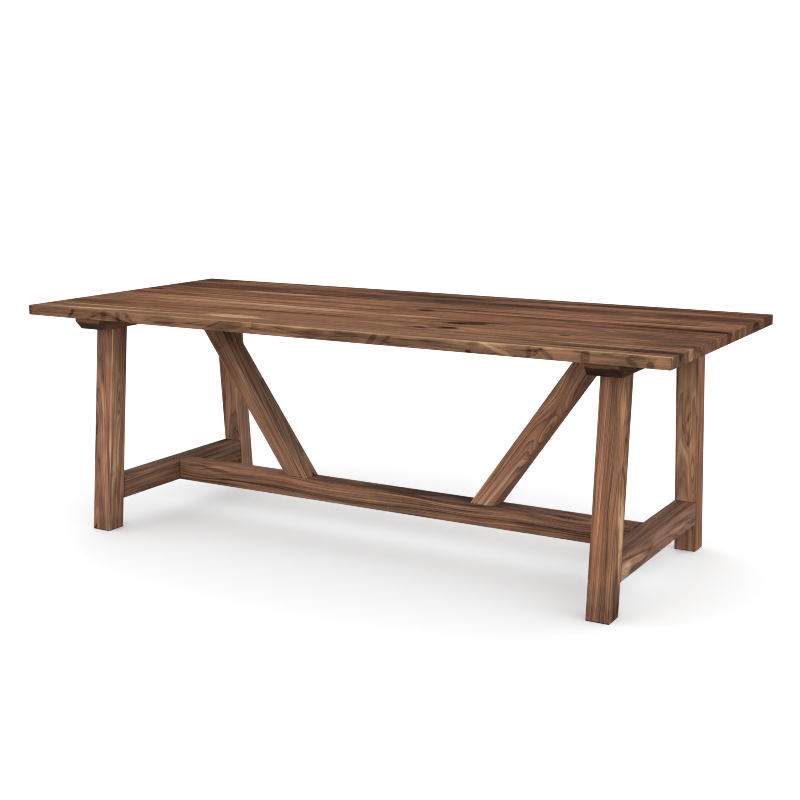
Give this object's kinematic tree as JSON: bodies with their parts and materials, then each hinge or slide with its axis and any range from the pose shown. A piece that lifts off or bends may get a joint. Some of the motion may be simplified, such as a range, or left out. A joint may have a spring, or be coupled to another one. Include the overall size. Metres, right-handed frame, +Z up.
{
  "type": "farmhouse table",
  "caption": "Plank-topped farmhouse dining table on two splayed trestles, with a low stretcher and diagonal braces.",
  "frame": {"origin": "on the floor under the middle of the top", "axes": "+X along the table to the right, +Y to the back, +Z up; the side with -Y is the front"},
  "size_m": [2.2, 0.98, 0.762],
  "materials": {
    "walnut_top": "satin oil",
    "walnut_frame": "satin oil",
    "steel": "zinc plated"
  },
  "bodies": {
    "root": {"board_1": "walnut_top", "board_2": "walnut_top", "board_3": "walnut_top", "board_4": "walnut_top", "board_5": "walnut_top", "board_6": "walnut_top", "board_7": "walnut_top", "bearer_left": "walnut_frame", "bearer_right": "walnut_frame", "leg_front_left": "walnut_frame", "leg_front_right": "walnut_frame", "leg_back_left": "walnut_frame", "leg_back_right": "walnut_frame", "rail_left": "walnut_frame", "rail_right": "walnut_frame", "stretcher": "walnut_frame", "brace_left": "walnut_frame", "brace_right": "walnut_frame", "head_plate_left": "steel", "head_plate_right": "steel", "bearer_screws": "steel", "bearer_washers": "steel", "brace_foot_screws": "steel", "plate_wing_screws": "steel", "plate_brace_screws": "steel"}
  },
  "joints": []
}
